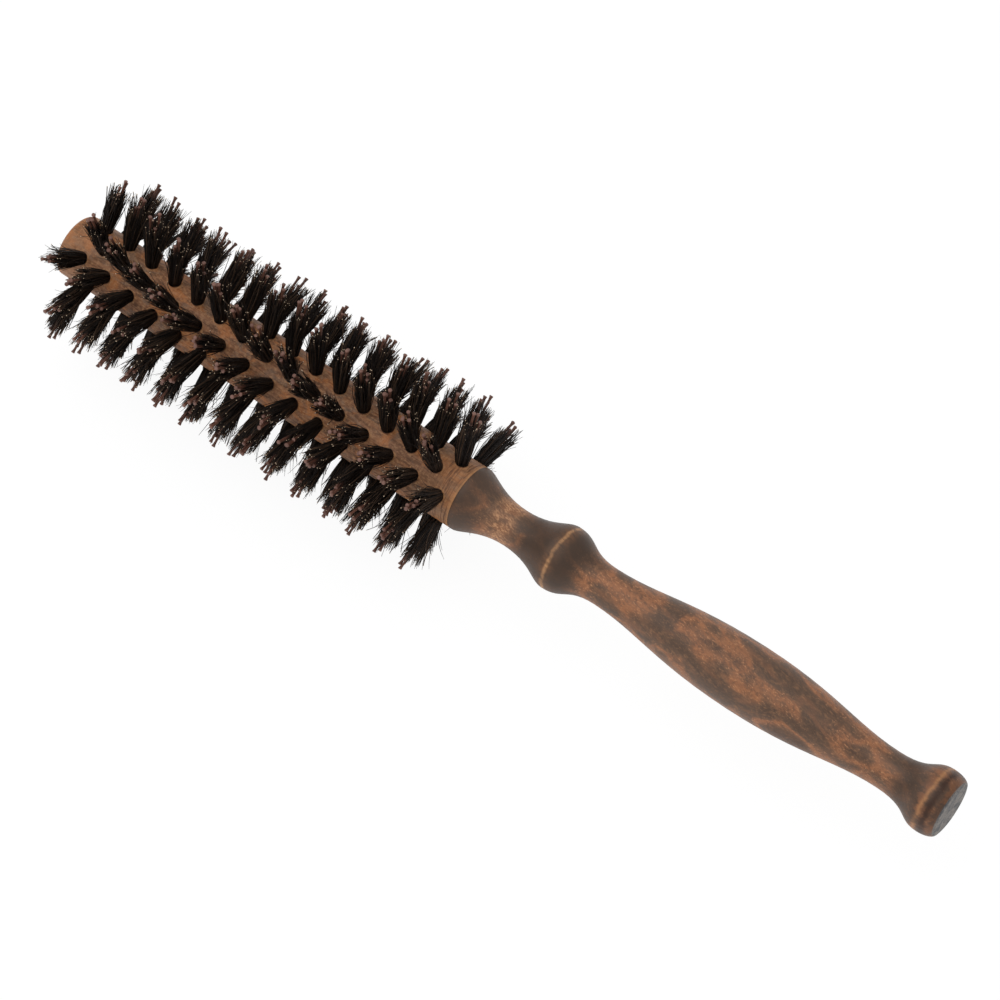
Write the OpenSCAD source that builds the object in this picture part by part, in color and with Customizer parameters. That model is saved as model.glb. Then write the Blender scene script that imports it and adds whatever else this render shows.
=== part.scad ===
// Round barrel hair brush: a turned wooden barrel glued to a turned handle,
// with folded tufts of dark bristle and nylon pins held in drilled holes by flat wire anchors.
// Millimetres. The brush lies along X, with the barrel towards -X and the handle towards +X,
// and +Z is up. The origin is the centre of the flat end of the handle.

/* [Barrel] */
// Length of the barrel from its free tip to the shoulder
barrel_len = 108; // [105:0.5:140]
// Diameter of the barrel where it meets the handle
shoulder_d = 14.76; // [13:0.1:20]
// Diameter of the barrel at its free tip
tip_d = 14.4; // [13:0.1:20]
// Radius of the rounding around the free tip
tip_round = 1.1; // [0.2:0.1:3]

/* [Handle] */
// Length of the handle from the shoulder to its flat end
handle_len = 120.5; // [90:0.5:160]
// Diameter of the two thin necks on either side of the bead
neck_d = 8.66; // [6.5:0.1:12]
// Diameter of the bead
bead_d = 14.76; // [10:0.1:20]
// Largest diameter of the grip
grip_d = 14.84; // [10:0.1:22]
// Diameter of the waist before the end knob
waist_d = 8.5; // [6.5:0.1:12]
// Diameter of the end knob
knob_d = 14.44; // [10:0.1:20]
// Diameter of the flat end face
end_face_d = 11.6; // [4:0.1:14]

/* [Tenon joint] */
// Diameter of the tenon turned on the handle
tenon_d = 4.6; // [3:0.1:5]
// Length of the tenon
tenon_len = 16; // [6:0.5:30]

/* [Tuft layout] */
// Number of full rings of tufts along the barrel
rings = 15; // [3:1:15]
// Distance between full rings, with a half-pitch staggered ring between each two
ring_pitch = 7; // [6:0.1:7.1]
// Number of tufts around each ring
tufts_per_ring = 5; // [3:1:5]
// Distance from the shoulder to the nearest ring
shoulder_gap = 3.7; // [2:0.1:4.5]
// Turn of the tufts from one ring to the next, so that the rows wind around the barrel
spiral_twist = 5.77; // [0:0.01:12]
// Direction of the first row at the ring nearest the shoulder, measured about X from +Z
first_row_angle = 52.2; // [0:0.1:72]

/* [Tufts] */
// Diameter of the drilled tuft holes
hole_d = 2.8; // [2.6:0.1:3]
// Distance from the barrel's axis to the bottom of the holes
hole_floor = 3.2; // [3:0.1:3.6]
// Distance from the barrel's axis to the cut bristle ends
bristle_reach = 18.2; // [12:0.1:18.5]
// Diameter of a tuft across its splayed bristle ends
tuft_end_d = 5; // [3.6:0.1:6]

/* [Nylon pins] */
// Distance from the barrel's axis to the tip of the longest pin
pin_reach = 20.6; // [19:0.1:30]
// Diameter of a pin
pin_d = 0.56; // [0.4:0.02:0.6]
// Diameter of the flared tip
pin_tip_d = 0.96; // [0.7:0.02:1.2]
// Outward lean of each pin along the brush and across it
pin_lean = 2; // [0.5:0.5:2]

/* [Anchors] */
// Thickness of the flat wire
anchor_thickness = 0.35; // [0.2:0.05:0.45]
// Height of the flat wire across its width
anchor_height = 1.2; // [0.6:0.1:1.4]

/* [Hidden] */
rows = 2 * tufts_per_ring;

$fn = 48;

wood = [0.55, 0.36, 0.22];
dark_wood = [0.30, 0.20, 0.14];
bristle_black = [0.07, 0.06, 0.06];
pin_brown = [0.36, 0.20, 0.16];
wire_steel = [0.66, 0.64, 0.60];

shoulder_x = -handle_len;
clearance = 0.05;
pin_clearance = 0.04;
curve_steps = 12;
shoulder_land = 0.5;
socket_spare = 0.5;

// A cutting shape runs this far past the face it cuts.
cut_past = 1;

root_d = hole_d - 2 * clearance;
// Tufts stay straight until they are this far clear of the barrel, then splay.
straight_above = 0.3;
flare_start = shoulder_d / 2 + straight_above;

leg_spacing_x = 0.42;
leg_spacing_y = 0.66;
// Bristle below the folded pins, and between the folds and the anchor.
under_fold = 0.3;
above_fold = 0.1;
pin_floor = hole_floor + under_fold;
pin_tip_len = 0.9;
// The squared-off folds are this much narrower than the pins.
bend_inset = 0.12;
pin_bend_width = pin_d - bend_inset;
anchor_floor = pin_floor + pin_d + above_fold;
anchor_width = root_d;

// The four legs of a tuft's two folded pins: side along X, side across, and how much shorter
// than the longest.
pin_legs = [[-1, -1, 0.9], [-1, 1, 0], [1, -1, 0.4], [1, 1, 1.4]];

// The stations of the handle's outline: distance from the shoulder as a share of the handle's length,
// radius, and how far the curve runs level before and after the station as a share of each span.
handle_stations = [
    [shoulder_land / handle_len, shoulder_d / 2, 0, 0.15],
    [0.101, neck_d / 2, 0.55, 0.60],
    [0.199, bead_d / 2, 0.22, 0.42],
    [0.295, neck_d / 2, 0.60, 0.30],
    [0.590, grip_d / 2, 0.52, 0.50],
    [0.875, waist_d / 2, 0.30, 0.70],
    [0.970, knob_d / 2, 0.38, 0]
];

function row_node(kind, row) = str(kind, "_row_", row < 10 ? "0" : "", row);

function bezier(a, b, c, d, t) =
    a * pow(1 - t, 3) + 3 * b * t * pow(1 - t, 2) + 3 * c * t * t * (1 - t) + d * pow(t, 3);

// One curved span between two stations, level at both ends. Its last point starts the next span.
function handle_span(from, to) =
    let (start = from[0] * handle_len, end = to[0] * handle_len, len = end - start)
    [for (i = [0 : curve_steps - 1])
        let (t = i / curve_steps)
        [
            bezier(from[1], from[1], to[1], to[1], t),
            bezier(start, start + from[3] * len, end - to[2] * len, end, t)
        ]
    ];

// The rounding from the knob's widest place to the flat end face, a quarter of an ellipse.
function end_rounding(knob) =
    let (start = knob[0] * handle_len, face_r = end_face_d / 2)
    [for (i = [0 : curve_steps])
        let (turn = 90 * i / curve_steps)
        [
            face_r + (knob[1] - face_r) * cos(turn),
            start + (handle_len - start) * sin(turn)
        ]
    ];

function handle_curve() = concat(
    [for (i = [0 : len(handle_stations) - 2]) each handle_span(handle_stations[i], handle_stations[i + 1])],
    end_rounding(handle_stations[len(handle_stations) - 1])
);

// Odd rows stand on the full rings, and even rows on the staggered rings between them.
function tufts_in_row(row) = row % 2 == 1 ? rings : rings - 1;
function ring_place(row, i) = i + (row % 2 == 1 ? 0 : 0.5);
function tuft_x(row, i) = shoulder_x - shoulder_gap - ring_pitch * (rings - 1 - ring_place(row, i));
function tuft_angle(row, i) =
    first_row_angle + (row - 1) * 360 / rows + spiral_twist * (ring_place(row, i) - rings + 1);

// Turns an outline of [radius, distance along the axis] about the brush's own axis, X.
module turned(outline) {
    rotate([0, 90, 0])
        rotate_extrude()
            polygon(outline);
}

// Puts its child, drawn along +Z from the barrel's axis, at every tuft of one row.
module at_tufts(row) {
    for (i = [0 : tufts_in_row(row) - 1])
        translate([tuft_x(row, i), 0, 0])
            rotate([tuft_angle(row, i), 0, 0])
                children();
}

module barrel_blank() {
    tip_r = tip_d / 2;
    translate([shoulder_x, 0, 0])
        turned(concat(
            [[0, 0], [0, -barrel_len]],
            [for (i = [0 : curve_steps])
                let (turn = 90 * i / curve_steps)
                [tip_r - tip_round * (1 - sin(turn)), -barrel_len + tip_round * (1 - cos(turn))]
            ],
            [[shoulder_d / 2, 0]]
        ));
}

module tenon_socket() {
    depth = tenon_len + socket_spare;
    translate([shoulder_x - depth, 0, 0])
        rotate([0, 90, 0])
            cylinder(d = tenon_d + 2 * clearance, h = depth + cut_past);
}

module tuft_hole() {
    translate([0, 0, hole_floor])
        cylinder(d = hole_d, h = shoulder_d);
}

module barrel() {
    color(wood)
        difference() {
            barrel_blank();
            tenon_socket();
            for (row = [1 : rows])
                at_tufts(row)
                    tuft_hole();
        }
}

module handle() {
    tenon_r = tenon_d / 2;
    color(dark_wood)
        translate([shoulder_x, 0, 0])
            turned(concat(
                [[0, -tenon_len], [tenon_r, -tenon_len], [tenon_r, 0], [shoulder_d / 2, 0]],
                handle_curve(),
                [[0, handle_len]]
            ));
}

// One leg of a folded pin, from the fold to its tip. The gap widens it, to cut the room that
// it needs in the bristles.
module pin_leg(leg, gap = 0) {
    reach = pin_reach - leg[2] - pin_floor;
    translate([leg[0] * leg_spacing_x, leg[1] * leg_spacing_y, pin_floor])
        rotate([-leg[1] * pin_lean, leg[0] * pin_lean, 0]) {
            cylinder(d = pin_d + 2 * gap, h = reach);
            if (gap == 0)
                translate([0, 0, reach - pin_tip_len])
                    cylinder(d1 = pin_d, d2 = pin_tip_d, h = pin_tip_len);
        }
}

// The fold that joins two legs under the anchor, squared off so that it stays a simple solid.
module pin_bend(side, gap = 0) {
    width = pin_bend_width + 2 * gap;
    translate([side * leg_spacing_x, 0, pin_floor + pin_d / 2])
        cube([width, 2 * leg_spacing_y, width], center = true);
}

module tuft_pins(gap = 0) {
    for (leg = pin_legs)
        pin_leg(leg, gap);
    for (side = [-1, 1])
        pin_bend(side, gap);
}

module tuft_anchor(gap = 0) {
    translate([-anchor_width / 2 - gap, -anchor_thickness / 2 - gap, anchor_floor - gap])
        cube([anchor_width + 2 * gap, anchor_thickness + 2 * gap, anchor_height + 2 * gap]);
}

module tuft_bristles() {
    root_r = root_d / 2;
    difference() {
        rotate_extrude()
            polygon([
                [0, hole_floor + clearance],
                [root_r, hole_floor + clearance],
                [root_r, flare_start],
                [tuft_end_d / 2, bristle_reach],
                [0, bristle_reach]
            ]);
        tuft_pins(pin_clearance);
        tuft_anchor(clearance);
    }
}

module bristle_row(row) {
    color(bristle_black)
        at_tufts(row)
            tuft_bristles();
}

module pin_row(row) {
    color(pin_brown)
        at_tufts(row)
            tuft_pins();
}

module anchor_row(row) {
    color(wire_steel)
        at_tufts(row)
            tuft_anchor();
}

barrel();
handle();
for (row = [1 : rows]) {
    bristle_row(row);
    pin_row(row);
    anchor_row(row);
}
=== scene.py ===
"""The looks of the round hair brush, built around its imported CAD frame.

Metres, in the CAD's own frame: the brush lies along X, barrel towards -X and handle towards +X, and the
handle's flat end is at X = 0. Lengths are written in millimetres and turned into metres with MM. Inside the
materials, places and distances are in millimetres.
"""

import math

import bpy
import numpy as np
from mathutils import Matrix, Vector


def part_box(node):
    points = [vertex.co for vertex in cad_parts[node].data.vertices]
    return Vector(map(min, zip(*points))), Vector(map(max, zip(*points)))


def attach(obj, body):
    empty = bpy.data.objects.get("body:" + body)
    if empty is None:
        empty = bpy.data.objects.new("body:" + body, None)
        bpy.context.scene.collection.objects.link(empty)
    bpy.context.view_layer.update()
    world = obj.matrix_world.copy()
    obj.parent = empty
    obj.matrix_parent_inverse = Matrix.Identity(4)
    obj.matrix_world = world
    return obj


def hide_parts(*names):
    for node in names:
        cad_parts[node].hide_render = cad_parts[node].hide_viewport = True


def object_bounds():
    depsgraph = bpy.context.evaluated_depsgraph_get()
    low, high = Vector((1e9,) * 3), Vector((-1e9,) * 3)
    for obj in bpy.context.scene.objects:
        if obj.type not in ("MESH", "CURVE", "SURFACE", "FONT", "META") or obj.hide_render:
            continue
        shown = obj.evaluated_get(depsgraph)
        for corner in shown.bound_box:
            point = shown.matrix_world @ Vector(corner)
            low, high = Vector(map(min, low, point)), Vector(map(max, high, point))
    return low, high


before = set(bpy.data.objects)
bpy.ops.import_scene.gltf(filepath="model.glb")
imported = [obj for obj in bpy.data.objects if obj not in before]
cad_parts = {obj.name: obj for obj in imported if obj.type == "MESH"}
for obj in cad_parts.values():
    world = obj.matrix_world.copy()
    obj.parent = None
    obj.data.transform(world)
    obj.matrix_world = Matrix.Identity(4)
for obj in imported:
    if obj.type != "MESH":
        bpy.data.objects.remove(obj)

cad_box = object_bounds()

MM = 0.001
SEED = 20260

# Barrel and handle, read from the frame.
BARREL_TIP_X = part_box("barrel")[0].x
SHOULDER_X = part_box("barrel")[1].x
SURFACE_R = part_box("barrel")[1].y
ROWS = sorted(name[-2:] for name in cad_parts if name.startswith("anchor_row_"))
# Angle between two tufts of one ring. Half of the rows have their tufts on the full rings.
RING_STEP = 2 * math.pi / (len(ROWS) / 2)


# ---------------------------------------------------------------- frame readers

# A wider gap than this between anchor points, along the brush, parts two tufts.
ANCHOR_GAP = 3.5 * MM


def tuft_places(anchor_node):
    """(x, outward direction) of every tuft in one row, from the anchors that hold them."""
    points = np.array([v.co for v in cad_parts[anchor_node].data.vertices])
    points = points[np.argsort(points[:, 0])]
    breaks = np.nonzero(np.diff(points[:, 0]) > ANCHOR_GAP)[0] + 1
    places = []
    for group in np.split(points, breaks):
        middle = (group.min(0) + group.max(0)) / 2
        places.append((middle[0], Vector((0, middle[1], middle[2])).normalized()))
    return places


def turned_outline(node):
    """The (x, radius) outline of a turned CAD solid, along its outside."""
    points = np.array([v.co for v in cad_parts[node].data.vertices])
    radius = np.hypot(points[:, 1], points[:, 2])
    widest = {}
    for x, r in zip(points[:, 0].round(6), radius):
        widest[x] = max(r, widest.get(x, 0))
    return np.array(sorted(widest.items()))


# ---------------------------------------------------------------- mesh builders

def new_piece(name, vertices, faces, material, attributes=None):
    """A smooth-shaded mesh object that rides on the brush's one body."""
    mesh = bpy.data.meshes.new(name)
    mesh.from_pydata(vertices, [], faces)
    for key, values in (attributes or {}).items():
        layer = mesh.attributes.new(key, "FLOAT", "POINT")
        layer.data.foreach_set("value", np.asarray(values, np.float32).ravel())
    mesh.polygons.foreach_set("use_smooth", [True] * len(mesh.polygons))
    mesh.materials.append(material)
    mesh.update()
    piece = bpy.data.objects.new(name, mesh)
    bpy.context.scene.collection.objects.link(piece)
    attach(piece, "root")
    return piece


def tube_faces(strands, rings, sides):
    """Side quads and end caps for many closed tubes. Vertices run strand by strand, ring by ring."""
    strand = np.arange(strands)[:, None, None] * rings * sides
    ring = np.arange(rings - 1)[None, :, None] * sides
    side = np.arange(sides)[None, None, :]
    following = (side + 1) % sides
    low, high = strand + ring, strand + ring + sides
    quads = np.stack([low + side, low + following, high + following, high + side], -1)
    start = np.arange(strands)[:, None] * rings * sides + np.arange(sides)[::-1][None]
    end = start[:, ::-1] + (rings - 1) * sides
    return quads.reshape(-1, 4).tolist() + start.tolist() + end.tolist()


def tube_vertices(paths, radii, across, along, sides):
    """Rings around many paths at once. paths is (strands, rings, 3) and radii is (strands, rings)."""
    turn = 2 * np.pi * np.arange(sides) / sides
    circle = np.cos(turn)[:, None] * across[None] + np.sin(turn)[:, None] * along[None]
    return (paths[:, :, None] + radii[:, :, None, None] * circle[None, None]).reshape(-1, 3)


def disc_points(rng, count):
    """Points spread evenly over the unit disc."""
    radius = np.sqrt(rng.random(count))
    turn = 2 * np.pi * rng.random(count)
    return np.stack([radius * np.cos(turn), radius * np.sin(turn)], -1)


def place_paths(x, outward, offsets, heights):
    """Turns tuft offsets (along the brush, across it) and heights over the axis into points."""
    outward = np.array(outward)
    axis = np.array((1.0, 0.0, 0.0))
    side = np.cross(outward, axis)
    points = (
        offsets[..., :1] * axis
        + offsets[..., 1:] * side
        + heights[..., None] * outward
    )
    points[..., 0] += x
    return points, axis, side


def smooth_curve(points, steps):
    """A Catmull-Rom curve through the points, with that many steps between each two."""
    padded = np.vstack([2 * points[0] - points[1], points, 2 * points[-1] - points[-2]])
    out = []
    for before, a, b, after in zip(padded, padded[1:], padded[2:], padded[3:]):
        for i in range(steps):
            t = i / steps
            out.append(0.5 * (
                2 * a
                + (b - before) * t
                + (2 * before - 5 * a + 4 * b - after) * t ** 2
                + (3 * a - before - 3 * b + after) * t ** 3
            ))
    out.append(points[-1])
    return np.array(out)


def eased_end(curve, ease, steps):
    """The outline, with the sharp edge at its last point eased by a small round."""
    corner = curve[-1]
    kept = curve[np.hypot(*(curve - corner).T) > ease]
    inner = corner - (0, ease)
    bends = np.linspace(0, 1, steps + 1)[1:, None]
    rounded = (1 - bends) ** 2 * kept[-1] + 2 * bends * (1 - bends) * corner + bends ** 2 * inner
    return np.vstack([kept, rounded])


# ---------------------------------------------------------------- tufts

# Below, a SCATTER is the standard deviation of a random change. A pair in brackets is the lowest and the
# highest of a random value, unless its comment says something else.

# The foot of every hair and pin is this far under the barrel's surface.
ROOT_DEPTH = 0.9 * MM
# How far a whole tuft leans, at its end, from the direction of its hole.
LEAN_SCATTER = 0.45 * MM

# Natural bristle: one tuft is a bundle of hairs that leaves its hole tight and splays outwards,
# with its ends drawn together into small points, the clumps.
HAIRS_PER_TUFT = 190
HAIR_R = 0.095 * MM
HAIR_SIDES = 3
# Shares of a hair's length, from its foot, at which it has a ring of vertices.
HAIR_STEPS = (0.0, 0.25, 0.5, 0.72, 0.88, 0.985, 1.0)
HAIR_THICKNESS = (0.8, 1.15)
# A hair's width, as a share of its own, at three shares of its length.
HAIR_TAPER_STEPS = (0, 0.6, 1)
HAIR_TAPER = (1, 0.92, 0.4)
TUFT_ROOT_R = 1.25 * MM
TUFT_END_R = 2.35 * MM
# At a share s of its length a hair has splayed by SPLAY_RATE * s - SPLAY_EASE * s ** 2.
SPLAY_RATE = 1.3
SPLAY_EASE = 0.15
SPLAY_SCATTER = 0.07

# How many clumps a tuft has, how wide they stand, how loosely the hairs gather in them, how much of the
# way each hair is pulled, and how late along the hair the pull sets in.
CLUMPS = 20
CLUMP_SPREAD = (0.9, 1.18)
CLUMP_SCATTER = 0.2 * MM
CLUMP_PULL = (0.45, 1.0)
CLUMP_POWER = 2.6

# Reach is measured from the brush's axis.
BRISTLE_REACH = 17.6 * MM
CLUMP_REACH_SCATTER = 0.85 * MM
HAIR_REACH_SCATTER = 0.45 * MM
SHORT_SHARE = 0.3
# How much shorter a short hair is, in millimetres.
SHORTER_BY = (0.5, 3.0)

# Stray hairs stand off the tuft. Blunt hairs are cut off straight, and their ends get a painted glint, a pale
# colour.
STRAY_SHARE = 0.12
STRAY_SCATTER = 1.2 * MM
BLUNT_SHARE = 0.14
BLUNT_WIDTH = 1.1
HIGHEST_PLAIN_SHADE = 0.9

# A hair bows in its middle and hooks at its end.
BOW_SCATTER = 0.2 * MM
HOOK_SCATTER = 0.28 * MM
HOOK_POWER = 5

# Nylon pins: thicker, longer than the bristle, folded in pairs, each with a flared tip.
PIN_R = 0.29 * MM
PIN_TIP_R = 0.46 * MM
PIN_SIDES = 10
PIN_THICKNESS = (0.92, 1.06)
PIN_REACH = 20.6 * MM
PIN_REACH_SCATTER = 0.2 * MM
# How much shorter than the longest each pin of a tuft is, in any order, in millimetres.
PIN_SHORTER = (0.0, 0.6, 1.8, 3.0)
# Half the distances between a tuft's pins at their foot, both ways, in millimetres.
PIN_OFFSET = (0.32, 0.36)
PIN_SPLAY = (1.0, 1.9)
PIN_SPLAY_POWER = 1.1
PIN_SCATTER = 0.25 * MM
PIN_TUFT_SCATTER = 0.4 * MM
# The pins of a tuft stand towards its barrel-tip side.
PIN_LEAN_X = -0.2 * MM
# The rings of a pin's shaft, as shares of its length, and of its flare, as (distance below its end, radius).
PIN_SHAFT_STEPS = (0.0, 0.15, 0.4, 0.65)
PIN_FLARE = (
    (1.0 * MM, PIN_R),
    (0.5 * MM, 1.2 * PIN_R),
    (0.15 * MM, PIN_TIP_R),
    (0.0, 0.86 * PIN_TIP_R),
)


def bristle_tuft(rng, x, outward, lean):
    """One tuft's hairs: vertices, and each vertex's share of the way to the tip, and its hair's own shade."""
    count = HAIRS_PER_TUFT
    steps = np.array(HAIR_STEPS)
    # The foot of each hair in the hole, and the clump that its end is drawn to.
    roots = disc_points(rng, count)
    clumps = disc_points(rng, CLUMPS)
    nearest = np.argmin(((roots[:, None] - clumps[None]) ** 2).sum(-1), 1)
    clump_spread = rng.uniform(*CLUMP_SPREAD, (CLUMPS, 1))
    splayed = roots * TUFT_END_R * rng.normal(1, SPLAY_SCATTER, (count, 1)) + lean
    gathered = (clumps * clump_spread)[nearest] * TUFT_END_R + lean
    gathered = gathered + rng.normal(0, CLUMP_SCATTER, (count, 2))
    pull = (gathered - splayed) * rng.uniform(*CLUMP_PULL, (count, 1))
    stray = rng.random(count) < STRAY_SHARE
    pull[stray] += rng.normal(0, STRAY_SCATTER, (stray.sum(), 2))
    bow = rng.normal(0, BOW_SCATTER, (count, 2))
    hook = rng.normal(0, HOOK_SCATTER, (count, 2))
    root_offset = roots * TUFT_ROOT_R
    # How far out each hair ends.
    reach = BRISTLE_REACH + rng.normal(0, CLUMP_REACH_SCATTER, CLUMPS)[nearest]
    reach = reach + rng.normal(0, HAIR_REACH_SCATTER, count)
    short = rng.random(count) < SHORT_SHARE
    reach[short] -= rng.uniform(*SHORTER_BY, short.sum()) * MM
    # The hair's path, from its foot outwards.
    splay = SPLAY_RATE * steps - SPLAY_EASE * steps ** 2
    offsets = (
        root_offset[:, None]
        + (splayed - root_offset)[:, None] * splay[:, None]
        + pull[:, None] * steps[:, None] ** CLUMP_POWER
        + bow[:, None] * np.sin(np.pi * steps)[:, None]
        + hook[:, None] * steps[:, None] ** HOOK_POWER
    )
    floor = SURFACE_R - ROOT_DEPTH
    heights = floor + (reach[:, None] - floor) * steps
    blunt = rng.random(count) < BLUNT_SHARE
    taper = np.where(blunt[:, None], BLUNT_WIDTH, np.interp(steps, HAIR_TAPER_STEPS, HAIR_TAPER))
    radii = HAIR_R * rng.uniform(*HAIR_THICKNESS, (count, 1)) * taper
    paths, axis, side = place_paths(x, outward, offsets, heights)
    vertices = tube_vertices(paths, radii, axis, side, HAIR_SIDES)
    tip = np.broadcast_to(steps[None, :, None], (count, len(steps), HAIR_SIDES))
    shade = rng.random(count) * HIGHEST_PLAIN_SHADE
    # The blunt hairs take the top shade, which the hair material turns into a painted glint at their ends.
    shade[blunt] = 1.0
    shade = np.broadcast_to(shade[:, None, None], tip.shape)
    return vertices, tip.ravel(), shade.ravel()


def pin_tuft(rng, x, outward, lean):
    """One tuft's nylon pins, each a bent tube that flares at the tip."""
    count = len(PIN_SHORTER)
    reach = PIN_REACH - rng.permutation(PIN_SHORTER) * MM
    reach = reach - np.abs(rng.normal(0, PIN_REACH_SCATTER, count))
    # The two folded pins cross the hole side by side, turned by any angle.
    turn = rng.random() * 2 * np.pi
    corners = np.array(((-1, -1), (-1, 1), (1, -1), (1, 1))) * PIN_OFFSET * MM
    turned = np.array(((np.cos(turn), np.sin(turn)), (-np.sin(turn), np.cos(turn))))
    root_offset = corners @ turned
    end_offset = root_offset * rng.uniform(*PIN_SPLAY, (count, 1)) + lean
    end_offset = end_offset + rng.normal(0, PIN_SCATTER, (count, 2))
    end_offset += rng.normal(0, PIN_TUFT_SCATTER, 2) + (PIN_LEAN_X, 0)
    floor = SURFACE_R - ROOT_DEPTH
    flare_below_end, flare_r = np.array(PIN_FLARE).T
    heights = np.concatenate([
        floor + (reach[:, None] - floor) * np.array(PIN_SHAFT_STEPS)[None],
        reach[:, None] - flare_below_end[None],
    ], 1)
    steps = (heights - floor) / (reach[:, None] - floor)
    bend = (steps ** PIN_SPLAY_POWER)[..., None]
    offsets = root_offset[:, None] + (end_offset - root_offset)[:, None] * bend
    widths = np.concatenate([[PIN_R] * len(PIN_SHAFT_STEPS), flare_r])
    radii = np.broadcast_to(widths[None], heights.shape) * rng.uniform(*PIN_THICKNESS, (count, 1))
    paths, axis, side = place_paths(x, outward, offsets, heights)
    vertices = tube_vertices(paths, radii, axis, side, PIN_SIDES)
    tip = np.broadcast_to(steps[..., None], (count, heights.shape[1], PIN_SIDES))
    shade = np.broadcast_to(rng.random((count, 1, 1)), tip.shape)
    return vertices, tip.ravel(), shade.ravel()


# ---------------------------------------------------------------- material nodes

class Nodes:
    """Short calls that build one material's node tree."""

    def __init__(self, name):
        self.material = bpy.data.materials.new(name)
        self.material.use_nodes = True
        self.tree = self.material.node_tree
        self.tree.nodes.clear()

    def add(self, kind, **settings):
        node = self.tree.nodes.new(kind)
        for key, value in settings.items():
            setattr(node, key, value)
        return node

    def feed(self, socket, value):
        """Links a socket to it, or sets it as a fixed value."""
        if isinstance(value, bpy.types.NodeSocket):
            self.tree.links.new(value, socket)
        else:
            socket.default_value = value

    def math(self, operation, a, b=0.0):
        node = self.add("ShaderNodeMath", operation=operation)
        for socket, value in zip(node.inputs, (a, b)):
            self.feed(socket, value)
        return node.outputs[0]

    def plus(self, a, b):
        return self.math("ADD", a, b)

    def minus(self, a, b):
        return self.math("SUBTRACT", a, b)

    def times(self, a, b):
        return self.math("MULTIPLY", a, b)

    def apart(self, a, b):
        """How far a is from b, without its sign."""
        return self.math("ABSOLUTE", self.minus(a, b))

    def fade(self, value, low, high, start=0.0, end=1.0):
        """start at low, end at high, and a smooth step between. high may lie below low."""
        node = self.add("ShaderNodeMapRange", interpolation_type="SMOOTHSTEP")
        for socket, entry in zip(node.inputs, (value, low, high, start, end)):
            self.feed(socket, entry)
        return node.outputs[0]

    def band(self, value, low, high, strength, soft):
        """strength between low and high, fading out over soft at either side."""
        rise = self.fade(value, low - soft, low + soft, 0.0, strength)
        return self.times(rise, self.fade(value, high + soft, high - soft))

    def mix(self, factor, a, b):
        node = self.add("ShaderNodeMix", data_type="RGBA")
        self.feed(node.inputs[0], factor)
        for socket, value in zip((node.inputs[6], node.inputs[7]), (a, b)):
            self.feed(socket, value)
        return node.outputs[2]

    def tint(self, colour, over, value, start, full, strength=1.0):
        """colour, turning into over as value goes from start to full, by at most strength."""
        return self.mix(self.fade(value, start, full, 0.0, strength), colour, over)

    def position(self):
        """Object coordinates in millimetres, and their X, Y and Z apart."""
        place = self.add("ShaderNodeTexCoord").outputs["Object"]
        scaled = self.add("ShaderNodeVectorMath", operation="SCALE")
        self.feed(scaled.inputs[0], place)
        scaled.inputs["Scale"].default_value = 1 / MM
        parts = self.add("ShaderNodeSeparateXYZ")
        self.feed(parts.inputs[0], scaled.outputs[0])
        return scaled.outputs[0], parts.outputs

    def facing_x(self):
        """The share of the surface's direction that points along the brush."""
        facing = self.add("ShaderNodeSeparateXYZ")
        self.feed(facing.inputs[0], self.add("ShaderNodeTexCoord").outputs["Normal"])
        return facing.outputs[0]

    def along_grain(self, vector, share):
        """The vector with its X shrunk to a share, which draws a pattern out along the brush."""
        return self.stretched(vector, share, 1.0, 1.0)

    def stretched(self, vector, x, y, z):
        """The vector times x, y and z. A share below 1 draws a pattern out along that axis."""
        node = self.add("ShaderNodeVectorMath", operation="MULTIPLY")
        self.feed(node.inputs[0], vector)
        node.inputs[1].default_value = (x, y, z)
        return node.outputs[0]

    def noise(self, vector, scale, detail=4.0, roughness=0.55, distortion=0.0):
        """Noise with scale waves in a millimetre. Its values lie around 0.5."""
        node = self.add("ShaderNodeTexNoise")
        self.feed(node.inputs["Vector"], vector)
        node.inputs["Scale"].default_value = scale
        node.inputs["Detail"].default_value = detail
        node.inputs["Roughness"].default_value = roughness
        node.inputs["Distortion"].default_value = distortion
        return node.outputs["Fac"]

    def attribute(self, name):
        return self.add("ShaderNodeAttribute", attribute_name=name).outputs["Fac"]

    def bump(self, height, strength, distance):
        node = self.add("ShaderNodeBump")
        node.inputs["Strength"].default_value = strength
        node.inputs["Distance"].default_value = distance
        self.feed(node.inputs["Height"], height)
        return node.outputs[0]

    def finish(self, colour, roughness, normal=None, **extra):
        shader = self.add("ShaderNodeBsdfPrincipled")
        self.feed(shader.inputs["Base Color"], colour)
        self.feed(shader.inputs["Roughness"], roughness)
        if normal is not None:
            self.feed(shader.inputs["Normal"], normal)
        for key, value in extra.items():
            self.feed(shader.inputs[key.replace("_", " ")], value)
        output = self.add("ShaderNodeOutputMaterial")
        self.feed(output.inputs["Surface"], shader.outputs[0])
        return self.material


def srgb(red, green, blue):
    """A colour given in 0-255 display values, as linear RGBA."""
    def linear(value):
        value /= 255
        return value / 12.92 if value <= 0.04045 else ((value + 0.055) / 1.055) ** 2.4
    return (linear(red), linear(green), linear(blue), 1.0)


# ---------------------------------------------------------------- barrel wood

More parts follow.
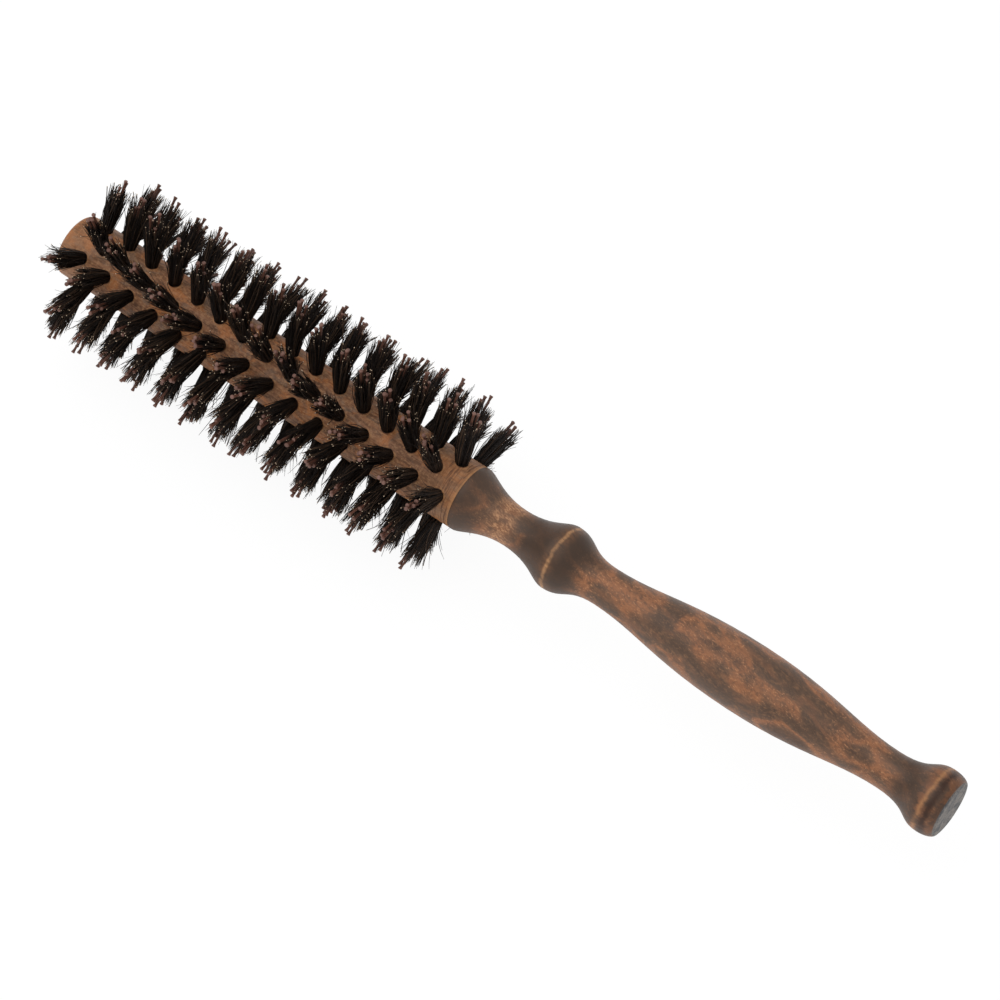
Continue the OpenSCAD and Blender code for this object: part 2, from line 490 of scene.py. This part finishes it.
BARREL_DARK = srgb(98, 64, 42)
BARREL_LIGHT = srgb(148, 102, 70)
BARREL_ORANGE = srgb(180, 112, 62)
BARREL_GREY = srgb(124, 100, 82)
BARREL_FLECK_LIGHT = srgb(186, 138, 98)
BARREL_FLECK_DARK = srgb(80, 50, 32)
BARREL_PORE = srgb(52, 30, 19)
# Painted light: both ends of the barrel, where the tufts shade it less.
BARREL_TIP_PAINTED_LIGHT = srgb(152, 104, 66)
BARREL_SHOULDER_PAINTED_LIGHT = srgb(146, 106, 74)
TURNING_LINE = srgb(82, 50, 32)
# Painted light around the tuft holes: a pale painted highlight on the edge, and painted shade in the gap.
HOLE_EDGE_HIGHLIGHT = srgb(184, 132, 88)
HOLE_GAP_SHADE = srgb(58, 36, 24)
SHOULDER_EDGE = srgb(178, 128, 84)
END_GRAIN_LIGHT = srgb(150, 100, 62)
END_GRAIN_DARK = srgb(92, 56, 34)

# Radii around a tuft hole where the painted highlight on its edge and the painted shade in the gap round its
# tuft start and are full.
EDGE_HIGHLIGHT_R = (2.1, 1.6)
GAP_SHADE_R = (1.62, 1.42)
# Where the brush's axis lies, from the middle of the tree, and the pace of the tree's growth rings, in
# radians a millimetre.
TREE_OFFSET = (0, 11.0, 6.0)
RING_PACE = 4.2


def barrel_wood():
    n = Nodes("barrel_wood_turned")
    place, axes = n.position()
    tip, shoulder = BARREL_TIP_X / MM, SHOULDER_X / MM
    grain = n.noise(n.along_grain(place, 0.16), scale=1.0, detail=6.0, roughness=0.65, distortion=0.6)
    streak = n.noise(n.along_grain(place, 0.09), scale=2.6, detail=4.0, roughness=0.65)
    blotch = n.noise(n.along_grain(place, 0.6), scale=0.22, detail=4.0, roughness=0.6, distortion=0.8)
    warmth = n.noise(n.along_grain(place, 0.5), scale=0.37, detail=4.0, roughness=0.6, distortion=0.5)
    mottle = n.noise(n.along_grain(place, 0.7), scale=1.6, detail=5.0, roughness=0.7)
    turning = n.noise(n.stretched(place, 1.0, 0.06, 0.06), scale=3.2, detail=3.0, roughness=0.7)
    # Grain, patches and flecks.
    colour = n.tint(BARREL_DARK, BARREL_LIGHT, grain, 0.36, 0.62)
    colour = n.tint(colour, BARREL_ORANGE, blotch, 0.47, 0.59, 0.8)
    colour = n.tint(colour, BARREL_GREY, warmth, 0.48, 0.38, 0.7)
    colour = n.tint(colour, BARREL_FLECK_LIGHT, mottle, 0.46, 0.68, 0.65)
    colour = n.tint(colour, BARREL_FLECK_DARK, mottle, 0.48, 0.3, 0.35)
    colour = n.tint(colour, BARREL_PORE, streak, 0.55, 0.7, 0.6)
    # Both ends are painted lighter, a painted light where the tufts cast no shade, and the lathe's lines show
    # before the shoulder.
    colour = n.tint(colour, BARREL_TIP_PAINTED_LIGHT, axes[0], tip + 16, tip + 3, 0.4)
    colour = n.tint(colour, BARREL_SHOULDER_PAINTED_LIGHT, axes[0], shoulder - 14, shoulder - 3, 0.45)
    near_shoulder = n.fade(axes[0], shoulder - 12, shoulder - 3, 0.2, 0.85)
    lines = n.times(n.fade(turning, 0.48, 0.66), near_shoulder)
    colour = n.mix(lines, colour, TURNING_LINE)
    # Around each tuft hole: a painted highlight on its edge, broken up by the mottle, and painted shade in
    # the gap round the tuft.
    rim = hole_distance(n, axes)
    edge_highlight = n.times(n.fade(rim, *EDGE_HIGHLIGHT_R), n.fade(mottle, 0.4, 0.6, 0.0, 0.75))
    colour = n.mix(edge_highlight, colour, HOLE_EDGE_HIGHLIGHT)
    colour = n.tint(colour, HOLE_GAP_SHADE, rim, *GAP_SHADE_R, 0.6)
    colour = n.tint(colour, SHOULDER_EDGE, axes[0], shoulder - 0.9, shoulder - 0.2, 0.55)
    colour = n.tint(colour, end_grain(n, place), n.facing_x(), -0.75, -0.92)
    rough = n.fade(grain, 0.3, 0.7, 0.62, 0.5)
    height = n.plus(n.times(turning, 0.6), n.times(streak, 0.5))
    return n.finish(colour, rough, n.bump(height, 0.35, 0.12 * MM), Specular_IOR_Level=0.3)


def hole_distance(n, axes):
    """Distance in millimetres, over the barrel's surface, to the middle of the nearest tuft hole."""
    places = tuft_places("anchor_row_01")
    first, second = places[:2]
    pitch = (second[0] - first[0]) / MM
    angle = math.atan2(-first[1].y, first[1].z)
    twist = math.atan2(-second[1].y, second[1].z) - angle
    around = n.math("ARCTAN2", n.times(axes[1], -1.0), axes[2])
    ring = n.math("DIVIDE", n.minus(axes[0], first[0] / MM), pitch)
    turned = n.minus(n.minus(around, angle), n.times(ring, twist))
    spoke = n.math("DIVIDE", turned, RING_STEP)
    # The full rings, and the staggered rings half a pitch and half a step further on.
    found = []
    for shift in (0.0, 0.5):
        last = len(places) - 1 - shift
        nearest = n.minus(n.math("ROUND", n.plus(ring, shift)), shift)
        nearest = n.math("MINIMUM", n.math("MAXIMUM", nearest, shift), last)
        along = n.times(n.minus(ring, nearest), pitch)
        shifted = n.plus(spoke, shift)
        off_spoke = n.minus(shifted, n.math("ROUND", shifted))
        across = n.times(off_spoke, RING_STEP * SURFACE_R / MM)
        found.append(n.math("SQRT", n.plus(n.times(along, along), n.times(across, across))))
    return n.math("MINIMUM", found[0], found[1])


def end_grain(n, place):
    """Growth rings across the end of the wood, centred off the brush's axis."""
    shifted = n.add("ShaderNodeVectorMath", operation="ADD")
    n.feed(shifted.inputs[0], place)
    shifted.inputs[1].default_value = TREE_OFFSET
    flat = n.stretched(shifted.outputs[0], 0.0, 1.0, 1.0)
    length = n.add("ShaderNodeVectorMath", operation="LENGTH")
    n.feed(length.inputs[0], flat)
    wobble = n.noise(flat, scale=0.35, detail=2.0)
    radius = n.plus(length.outputs["Value"], n.times(wobble, 2.2))
    ring = n.math("SINE", n.times(radius, RING_PACE))
    pores = n.noise(flat, scale=3.5, detail=3.0, roughness=0.7)
    shade = n.plus(n.times(ring, 0.22), pores)
    return n.tint(END_GRAIN_DARK, END_GRAIN_LIGHT, shade, 0.3, 0.75)


# ---------------------------------------------------------------- handle wood

STAIN_DARK = srgb(88, 64, 49)
STAIN_LIGHT = srgb(114, 85, 66)
STAIN_GREY = srgb(84, 65, 52)
STAIN_DEEP = srgb(62, 43, 31)
WORN_BAND = srgb(160, 103, 67)
FIGURE_LIGHT = srgb(146, 96, 66)
FIGURE_DARK = srgb(66, 46, 34)
MOTTLE_LIGHT = srgb(162, 116, 82)
MOTTLE_DARK = srgb(62, 43, 31)
FLECK_LIGHT = srgb(192, 138, 98)
GRAIN_DARK = srgb(56, 39, 29)
SHOULDER_COVE = srgb(70, 52, 40)
BEAD_SIDES = srgb(62, 46, 35)
KNOB_COVE = srgb(60, 44, 33)
NECK_WORN_DARK = srgb(136, 92, 64)
NECK_WORN_LIGHT = srgb(204, 152, 110)
BEAD_GLOW = srgb(142, 98, 66)
BEAD_LINE = srgb(186, 138, 94)
KNOB_SHADE = srgb(58, 38, 26)
KNOB_GLOW = srgb(134, 87, 58)
KNOB_LIGHT_BAND = srgb(170, 120, 78)
KNOB_DARK_BAND = srgb(54, 31, 18)
KNOB_LAST_COOL = srgb(72, 52, 40)
KNOB_LAST_WARM = srgb(108, 70, 45)
END_FACE_DARK = srgb(50, 52, 56)
END_FACE_LIGHT = srgb(108, 101, 95)
END_FACE_SCRAPE = srgb(144, 137, 130)

HANDLE_LENGTH = -SHOULDER_X / MM
# About where the crest of the bead is, from the shoulder.
BEAD_AT = 0.2 * HANDLE_LENGTH
# The figure of the wood runs at this angle to the brush.
GRAIN_SLANT = math.radians(14)
# The patch noise at the middle of a worn band.
BAND_LEVEL = 0.52


def handle_wood():
    n = Nodes("handle_wood_stained")
    place, axes = n.position()
    # The distance from the shoulder.
    along = n.plus(axes[0], HANDLE_LENGTH)
    slant = n.add("ShaderNodeVectorRotate", rotation_type="Z_AXIS")
    n.feed(slant.inputs["Vector"], place)
    slant.inputs["Angle"].default_value = GRAIN_SLANT
    slanted = slant.outputs[0]
    patch = n.noise(n.along_grain(slanted, 0.5), scale=0.17, detail=1.0, roughness=0.4, distortion=0.3)
    cloud = n.noise(n.along_grain(place, 0.55), scale=0.26, detail=2.5, roughness=0.5, distortion=0.5)
    mottle = n.noise(n.along_grain(slanted, 0.45), scale=1.5, detail=5.0, roughness=0.68, distortion=0.3)
    fleck = n.noise(n.along_grain(slanted, 0.45), scale=3.2, detail=4.0, roughness=0.62, distortion=0.4)
    grain = n.noise(n.along_grain(place, 0.08), scale=3.0, detail=4.0, roughness=0.65)
    figure = n.noise(n.along_grain(slanted, 0.26), scale=0.36, detail=2.5, roughness=0.5, distortion=0.9)
    colour = grip_stain(n, patch, cloud, mottle, fleck, grain, figure)
    colour = dark_coves(n, colour, along)
    colour = worn_neck(n, colour, along, cloud, fleck, mottle)
    colour = bead_line(n, colour, along, cloud, patch, mottle)
    colour = knob_bands(n, colour, place, along, mottle)
    face = n.fade(n.facing_x(), 0.72, 0.97)
    colour = n.mix(face, colour, end_face(n, place))
    rough = n.plus(n.fade(mottle, 0.3, 0.7, 0.4, 0.54), n.times(face, 0.1))
    height = n.plus(n.times(grain, 0.7), n.times(mottle, 0.5))
    return n.finish(colour, rough, n.bump(height, 0.3, 0.1 * MM), Specular_IOR_Level=0.3)


def grip_stain(n, patch, cloud, mottle, fleck, grain, figure):
    """Broad grey-brown ovals, darker ones beside them, and warm bands worn thin between."""
    colour = n.tint(STAIN_DARK, STAIN_LIGHT, cloud, 0.28, 0.7)
    colour = n.tint(colour, STAIN_GREY, patch, 0.56, 0.34, 0.85)
    colour = n.tint(colour, STAIN_DEEP, patch, 0.5, 0.8, 0.8)
    from_band = n.apart(patch, BAND_LEVEL)
    glow = n.times(n.fade(from_band, 0.1, 0.0, 0.0, 0.8), n.fade(mottle, 0.3, 0.64, 0.25, 1.0))
    colour = n.mix(glow, colour, WORN_BAND)
    colour = n.tint(colour, FIGURE_LIGHT, figure, 0.48, 0.72, 0.35)
    colour = n.tint(colour, FIGURE_DARK, figure, 0.5, 0.28, 0.25)
    colour = n.tint(colour, MOTTLE_LIGHT, mottle, 0.48, 0.74, 0.4)
    colour = n.tint(colour, MOTTLE_DARK, mottle, 0.5, 0.28, 0.28)
    near_band = n.fade(from_band, 0.16, 0.02, 0.2, 1.0)
    light_flecks = n.times(n.fade(fleck, 0.54, 0.7, 0.0, 0.75), near_band)
    colour = n.mix(light_flecks, colour, FLECK_LIGHT)
    return n.tint(colour, GRAIN_DARK, grain, 0.56, 0.72, 0.25)


def dark_coves(n, colour, along):
    """Dark stain in the cove by the shoulder, on either side of the bead and before the knob."""
    colour = n.tint(colour, SHOULDER_COVE, along, 9.0, 2.0, 0.8)
    colour = n.tint(colour, BEAD_SIDES, n.apart(along, BEAD_AT - 1.2), 10.0, 5.2, 0.9)
    before_knob = n.band(along, HANDLE_LENGTH - 12.0, HANDLE_LENGTH - 6.6, 0.82, 2.0)
    return n.mix(before_knob, colour, KNOB_COVE)


def worn_neck(n, colour, along, cloud, fleck, mottle):
    """A worn, glowing patch on the first neck."""
    worn = n.times(n.fade(along, 6.0, 10.0), n.fade(along, 15.0, 11.5))
    worn = n.times(worn, n.fade(cloud, 0.36, 0.6, 0.2, 0.8))
    glint = n.plus(n.times(fleck, 0.5), n.times(mottle, 0.5))
    return n.mix(worn, colour, n.tint(NECK_WORN_DARK, NECK_WORN_LIGHT, glint, 0.44, 0.62))


def bead_line(n, colour, along, cloud, patch, mottle):
    """The thin light line that wear leaves on the crest of the bead, with a soft glow beside it."""
    wobble = n.times(n.minus(cloud, 0.5), 1.4)
    from_ridge = n.apart(n.plus(along, wobble), BEAD_AT + 0.4)
    uneven = n.times(n.fade(patch, 0.4, 0.6, 0.5, 1.0), n.fade(mottle, 0.3, 0.6, 0.3, 1.0))
    beside = n.times(n.fade(from_ridge, 2.4, 0.3, 0.0, 0.4), uneven)
    colour = n.mix(beside, colour, BEAD_GLOW)
    line = n.times(n.fade(from_ridge, 0.65, 0.1, 0.0, 0.9), uneven)
    return n.mix(line, colour, BEAD_LINE)


def knob_bands(n, colour, place, along, mottle):
    """The knob's uneven bands: a glow with a light line, a dark line, then brown up to the end face."""
    end = HANDLE_LENGTH
    wave = n.times(n.noise(n.along_grain(place, 0.3), scale=0.24, detail=3.0), 3.0)
    banded = n.minus(n.plus(along, 1.5), wave)
    broken = n.noise(n.along_grain(place, 0.6), scale=0.5, detail=3.0)
    warm = n.fade(broken, 0.42, 0.58)
    colour = n.tint(colour, KNOB_SHADE, along, end - 8.0, end - 4.0, 0.45)
    glow = n.times(n.band(banded, end - 5.6, end - 3.4, 0.65, 1.2), warm)
    colour = n.mix(glow, colour, KNOB_GLOW)
    light = n.times(n.fade(broken, 0.34, 0.54, 0.4, 1.0), n.fade(mottle, 0.3, 0.56, 0.55, 1.0))
    light = n.times(n.band(banded, end - 4.2, end - 3.6, 0.95, 0.55), light)
    colour = n.mix(light, colour, KNOB_LIGHT_BAND)
    dark = n.times(n.band(banded, end - 2.9, end - 1.7, 0.92, 0.5), n.fade(broken, 0.64, 0.46, 0.5, 1.0))
    colour = n.mix(dark, colour, KNOB_DARK_BAND)
    last = n.mix(warm, KNOB_LAST_COOL, KNOB_LAST_WARM)
    return n.tint(colour, last, banded, end - 1.5, end - 0.7, 0.75)


def end_face(n, place):
    """The flat end: grey, blotched and scraped."""
    blot = n.noise(place, scale=0.5, detail=6.0, roughness=0.7, distortion=0.6)
    scrape = n.noise(n.stretched(place, 1.0, 0.7, 1.3), scale=1.3, detail=5.0, roughness=0.75, distortion=0.8)
    colour = n.tint(END_FACE_DARK, END_FACE_LIGHT, blot, 0.38, 0.6)
    return n.tint(colour, END_FACE_SCRAPE, scrape, 0.52, 0.7, 0.7)


# ---------------------------------------------------------------- hair, pins and wire

HAIR_BLACK = srgb(31, 25, 22)
HAIR_BROWN = srgb(72, 55, 42)
# A painted glint, for the ends of the blunt hairs.
HAIR_END_GLINT = srgb(232, 206, 176)
PIN_BROWN = srgb(82, 50, 38)
PIN_LIGHT_BROWN = srgb(106, 70, 56)
PIN_MOTTLE = srgb(54, 32, 25)
# Painted shade for the pins' feet, deep in the hair.
PIN_FOOT_PAINTED_SHADE = srgb(34, 23, 19)
PIN_TIP = srgb(98, 66, 55)
PIN_LIGHT_TIP = srgb(124, 90, 79)
STEEL_DARK = srgb(150, 148, 142)
STEEL_LIGHT = srgb(196, 192, 186)


def bristle_black():
    n = Nodes("boar_bristle_black")
    tip, shade = n.attribute("tip"), n.attribute("shade")
    colour = n.tint(HAIR_BLACK, HAIR_BROWN, shade, 0.7, 0.9)
    # A painted glint: the ends of the blunt hairs are painted pale.
    painted_glint = n.times(n.fade(tip, 0.986, 0.999), n.fade(shade, 0.95, 0.99))
    colour = n.mix(painted_glint, colour, HAIR_END_GLINT)
    rough = n.fade(shade, 0.0, 1.0, 0.5, 0.68)
    return n.finish(colour, rough, Specular_IOR_Level=0.25)


def nylon_brown():
    n = Nodes("nylon_pin_brown")
    tip, shade = n.attribute("tip"), n.attribute("shade")
    place, _ = n.position()
    mottle = n.noise(place, scale=2.0, detail=2.0)
    colour = n.mix(shade, PIN_BROWN, PIN_LIGHT_BROWN)
    colour = n.tint(colour, PIN_MOTTLE, mottle, 0.4, 0.65, 0.4)
    # Painted shade: the pins darken towards their foot, where the hair packed around them shades them.
    colour = n.tint(colour, PIN_FOOT_PAINTED_SHADE, tip, 0.86, 0.7)
    colour = n.tint(colour, n.mix(shade, PIN_TIP, PIN_LIGHT_TIP), tip, 0.95, 1.0)
    return n.finish(colour, n.fade(mottle, 0.3, 0.7, 0.4, 0.55), Specular_IOR_Level=0.35)


def anchor_steel():
    n = Nodes("anchor_wire_steel")
    place, _ = n.position()
    scratch = n.noise(n.stretched(place, 0.2, 2.0, 2.0), scale=4.0, detail=3.0)
    colour = n.tint(STEEL_DARK, STEEL_LIGHT, scratch, 0.4, 0.7)
    return n.finish(colour, n.fade(scratch, 0.3, 0.7, 0.25, 0.45), Metallic=1.0)


# ---------------------------------------------------------------- pieces

HANDLE_SEGMENTS = 128
OUTLINE_STEPS = 4
# Outline points closer to the shoulder than this belong to the shoulder.
SAME_PLACE = 1e-6
# The tenon's chamfered end: the chamfer's length, and the end's radius as a share of the tenon's.
TENON_CHAMFER = 0.3 * MM
TENON_END_SHARE = 0.9
# The small round where the knob meets its flat end.
END_EASE = 0.55 * MM
END_EASE_STEPS = 6
# Radii of the rings inside the flat end, as shares of its own.
END_FACE_RINGS = (0.97, 0.5)


def build_handle():
    """The handle turned again from the CAD's outline, with a finer and smoother surface."""
    outline = turned_outline("handle")
    is_shaped = outline[:, 0] >= SHOULDER_X - SAME_PLACE
    shaped, tenon = outline[is_shaped], outline[~is_shaped]
    tenon_x, tenon_r = tenon[0, 0], tenon[:, 1].max()
    rings = [(tenon_x, tenon_r * TENON_END_SHARE), (tenon_x + TENON_CHAMFER, tenon_r), (SHOULDER_X, tenon_r)]
    curve = eased_end(smooth_curve(shaped, OUTLINE_STEPS), END_EASE, END_EASE_STEPS)
    rings += [tuple(p) for p in curve]
    end_r = rings[-1][1]
    rings += [(0.0, share * end_r) for share in END_FACE_RINGS]
    segments = HANDLE_SEGMENTS
    turn = 2 * np.pi * np.arange(segments) / segments
    vertices = [(x, r * np.cos(a), r * np.sin(a)) for x, r in rings for a in turn]
    faces = tube_faces(1, len(rings), segments)
    piece = new_piece("handle_turned", vertices, faces, handle_wood())
    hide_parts("handle")


def build_rows():
    """Each row's hairs and pins, in the places of the CAD's tufts."""
    hair_material, pin_material = bristle_black(), nylon_brown()
    for row in ROWS:
        rng = np.random.default_rng(SEED + int(row))
        hair, pins = [], []
        for x, outward in tuft_places("anchor_row_" + row):
            lean = rng.normal(0, LEAN_SCATTER, 2)
            hair.append(bristle_tuft(rng, x, outward, lean))
            pins.append(pin_tuft(rng, x, outward, lean))
        build_strands("bristles_" + row, hair, HAIRS_PER_TUFT * len(hair), HAIR_SIDES,
                      hair_material, "bristle_row_" + row)
        build_strands("pins_" + row, pins, len(PIN_SHORTER) * len(pins), PIN_SIDES,
                      pin_material, "pin_row_" + row)


def build_strands(name, tufts, strands, sides, material, node):
    """One piece from a row's tufts, in the place of that row's CAD node."""
    vertices, tip, shade = (np.concatenate(part) for part in zip(*tufts))
    rings = len(vertices) // (strands * sides)
    faces = tube_faces(strands, rings, sides)
    piece = new_piece(name, vertices.tolist(), faces, material, {"tip": tip, "shade": shade})
    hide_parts(node)


def dress_cad_nodes():
    """The barrel and the anchors keep their CAD shape and get finished materials."""
    wood, steel = barrel_wood(), anchor_steel()
    for name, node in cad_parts.items():
        material = wood if name == "barrel" else steel if name.startswith("anchor_row_") else None
        if material:
            for slot in node.material_slots:
                slot.material = material


# ---------------------------------------------------------------- floor, light and camera

CAMERA_AZIMUTH = math.radians(37.65)
CAMERA_ELEVATION = math.radians(56.87)
CAMERA_DISTANCE = 793.0 * MM
# The lens and the sensor's width are in millimetres.
CAMERA_LENS = 137.3
SENSOR_WIDTH = 36
# Where the camera looks, from the shoulder: along the brush as seen, and across it.
AIM_ALONG = 5.66 * MM
AIM_ACROSS = 3.15 * MM
SKY_LIGHT = 0.72
# The key light: where it hangs from the shoulder and its width, in metres, and its power in watts.
KEY_OFFSET = (-0.4, -0.2, 1.0)
KEY_SIZE = 1.4
KEY_POWER = 5.0
WHITE = (1, 1, 1, 1)
FLOOR_DARK = (0.86, 0.86, 0.86, 1)
FLOOR_LIGHT = (0.88, 0.88, 0.88, 1)
FLOOR_GLOW = 0.32
# Half the floor's side, in metres, and how far it lies below the brush.
FLOOR_HALF = 3.0
FLOOR_GAP = 0.4 * MM
# How far the floor's shadow is hidden from the camera.
FLOOR_WHITENESS = 0.9


def build_camera():
    """The camera, looking down on the brush from its handle end."""
    towards = Vector((
        math.sin(CAMERA_AZIMUTH) * math.cos(CAMERA_ELEVATION),
        -math.cos(CAMERA_AZIMUTH) * math.cos(CAMERA_ELEVATION),
        math.sin(CAMERA_ELEVATION),
    ))
    axis = Vector((1, 0, 0))
    along = (axis - axis.dot(towards) * towards).normalized()
    across = towards.cross(along)
    aim = Vector((SHOULDER_X, 0, 0)) + AIM_ALONG * along + AIM_ACROSS * across
    data = bpy.data.cameras.new("camera")
    data.lens = CAMERA_LENS
    data.sensor_width = SENSOR_WIDTH
    camera = bpy.data.objects.new("camera", data)
    bpy.context.scene.collection.objects.link(camera)
    camera.location = aim + CAMERA_DISTANCE * towards
    camera.rotation_euler = (-towards).to_track_quat("-Z", "Y").to_euler()
    bpy.context.scene.camera = camera


def floor_white():
    """A white that lights the brush from below, and shows the camera only a faint shadow."""
    n = Nodes("floor_white")
    shade = n.noise(n.position()[0], scale=0.002, detail=2.0)
    colour = n.mix(shade, FLOOR_DARK, FLOOR_LIGHT)
    material = n.finish(colour, 0.9, Emission_Color=WHITE, Emission_Strength=FLOOR_GLOW)
    paper = n.add("ShaderNodeEmission")
    output = n.tree.get_output_node("ALL")
    faint = n.add("ShaderNodeMixShader")
    seen = n.add("ShaderNodeLightPath").outputs["Is Camera Ray"]
    n.feed(faint.inputs[0], n.times(seen, FLOOR_WHITENESS))
    n.feed(faint.inputs[1], output.inputs["Surface"].links[0].from_socket)
    n.feed(faint.inputs[2], paper.outputs[0])
    n.feed(output.inputs["Surface"], faint.outputs[0])
    return material


def build_floor():
    """A plain square table just below the brush."""
    mesh = bpy.data.meshes.new("floor")
    corners = [(x * FLOOR_HALF, y * FLOOR_HALF, 0) for x, y in ((-1, -1), (1, -1), (1, 1), (-1, 1))]
    mesh.from_pydata(corners, [], [(0, 1, 2, 3)])
    mesh.materials.append(floor_white())
    floor = bpy.data.objects.new("floor", mesh)
    floor.location = (SHOULDER_X, 0, cad_box[0][2] - FLOOR_GAP)
    bpy.context.scene.collection.objects.link(floor)


def build_key_light():
    """One large soft light above the brush."""
    data = bpy.data.lights.new("key", "AREA")
    data.shape = "DISK"
    data.size = KEY_SIZE
    data.energy = KEY_POWER
    light = bpy.data.objects.new("key", data)
    bpy.context.scene.collection.objects.link(light)
    light.location = Vector((SHOULDER_X, 0, 0)) + Vector(KEY_OFFSET)
    light.rotation_euler = (-Vector(KEY_OFFSET)).to_track_quat("-Z", "Y").to_euler()


def build_sky():
    """The camera sees a white backdrop, and the brush is lit by a dimmer one."""
    world = bpy.data.worlds.new("studio")
    world.use_nodes = True
    nodes, links = world.node_tree.nodes, world.node_tree.links
    background = nodes["Background"]
    background.inputs["Color"].default_value = WHITE
    strength = nodes.new("ShaderNodeMapRange")
    links.new(nodes.new("ShaderNodeLightPath").outputs["Is Camera Ray"], strength.inputs["Value"])
    strength.inputs["To Min"].default_value = SKY_LIGHT
    links.new(strength.outputs[0], background.inputs["Strength"])
    bpy.context.scene.world = world


def set_colours():
    """Colours are shown as they are, with no film look."""
    settings = bpy.context.scene.view_settings
    settings.view_transform = "Standard"
    settings.look = "None"


build_handle()
build_rows()
dress_cad_nodes()
build_camera()
build_floor()
build_key_light()
build_sky()
set_colours()
